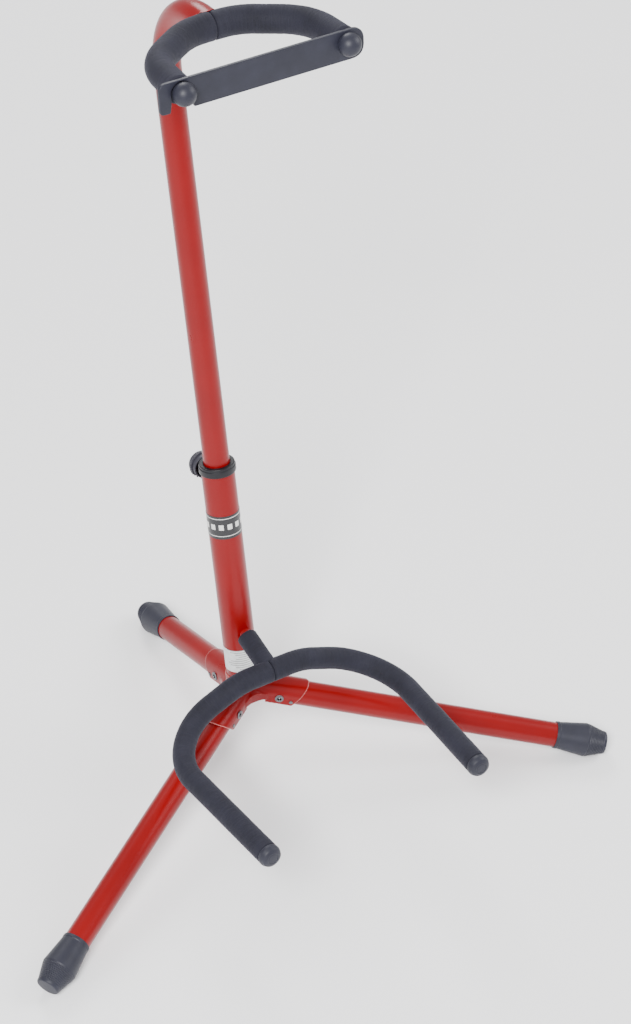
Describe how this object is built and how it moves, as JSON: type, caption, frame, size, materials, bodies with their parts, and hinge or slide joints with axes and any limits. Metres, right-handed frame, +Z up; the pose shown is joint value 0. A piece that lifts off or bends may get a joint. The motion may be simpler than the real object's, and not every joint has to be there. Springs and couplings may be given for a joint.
{
  "type": "guitar stand",
  "caption": "Folding guitar stand with splayed legs, a leaning height-adjustable tube, padded cradle arms and a padded neck yoke closed by a swinging rubber bar.",
  "frame": {"origin": "on the floor, at the middle of the box round the whole stand", "axes": "+Z up, -Y towards the guitar in front, +X to the right seen from the front of the stand"},
  "size_m": [0.557, 0.399, 0.7184],
  "materials": {
    "red_coat": "satin-gloss powder coat",
    "bare_steel": "zinc plated, satin",
    "foam": "matte closed-cell foam",
    "soft_rubber": "smooth moulded rubber",
    "dark_plastic": "moulded, fine grain",
    "pale_plastic": "moulded nylon",
    "black_film": "printed film",
    "silver_film": "printed silver film"
  },
  "bodies": {
    "base": {"hub": "red_coat", "leg_pivot_rivets": "bare_steel", "leg_detent_rivets": "bare_steel", "lower_tube": "red_coat", "base_plug": "dark_plastic", "hub_washer": "bare_steel", "hub_bolt": "bare_steel", "collar": "dark_plastic", "guide_bush": "pale_plastic", "clamp_boss": "bare_steel", "label_band": "black_film", "info_sticker": "silver_film", "cradle_rod": "bare_steel", "cradle_stem": "red_coat", "left_cradle_foam": "foam", "right_cradle_foam": "foam", "left_cradle_cap": "soft_rubber", "right_cradle_cap": "soft_rubber", "stem_foam": "foam"},
    "front_left_leg_body": {"front_left_leg": "red_coat", "front_left_foot": "soft_rubber"},
    "front_right_leg_body": {"front_right_leg": "red_coat", "front_right_foot": "soft_rubber"},
    "rear_leg_body": {"rear_leg": "red_coat", "rear_foot": "soft_rubber"},
    "clamp_slider": {"clamp_pad": "pale_plastic"},
    "clamp_wheel": {"clamp_screw": "bare_steel", "clamp_knob": "dark_plastic"},
    "glide": {"glide_ring": "pale_plastic"},
    "mast": {"mast_plug": "dark_plastic", "upper_tube": "red_coat", "neck_stub": "red_coat", "neck_rod": "bare_steel", "left_neck_foam": "foam", "right_neck_foam": "foam", "left_knob": "soft_rubber", "right_knob": "soft_rubber"},
    "latch": {"latch_bar": "soft_rubber"}
  },
  "joints": [
    {"name": "front_left_fold", "type": "hinge", "parent": "base", "child": "front_left_leg_body", "pos_m": [-0.02585, 0.00224, 0.06978], "axis": [0.4924, -0.8656, 0.091], "range_deg": [0, 75]},
    {"name": "front_right_fold", "type": "hinge", "parent": "base", "child": "front_right_leg_body", "pos_m": [0.02585, 0.00224, 0.06978], "axis": [0.4924, 0.8656, -0.091], "range_deg": [0, 75]},
    {"name": "rear_fold", "type": "hinge", "parent": "base", "child": "rear_leg_body", "pos_m": [0, 0.04631, 0.06515], "axis": [-1, 0, 0], "range_deg": [0, 75]},
    {"name": "clamp_travel", "type": "slide", "parent": "base", "child": "clamp_slider", "axis": [0, 0.9711, -0.2385], "range_m": [0, 0.0021]},
    {"name": "clamp_turn", "type": "hinge", "parent": "clamp_slider", "child": "clamp_wheel", "pos_m": [0, 0.06649, 0.27508], "axis": [0, 0.9711, -0.2385], "range_deg": [0, 720]},
    {"name": "height_slide", "type": "slide", "parent": "base", "child": "glide", "axis": [0, 0.2385, 0.9711], "range_m": [-0.054, 0.08]},
    {"name": "mast_turn", "type": "hinge", "parent": "glide", "child": "mast", "pos_m": [0, 0.01759, 0.076], "axis": [0, 0.2385, 0.9711], "continuous": true},
    {"name": "latch_swing", "type": "hinge", "parent": "mast", "child": "latch", "pos_m": [0.067, 0.00325, 0.70854], "axis": [0, 0.9917, -0.1288], "range_deg": [0, 110]}
  ],
  "couplings": [
    {"joint": "clamp_travel", "follows": "clamp_turn", "m_per_rad": 0.00015915}
  ]
}
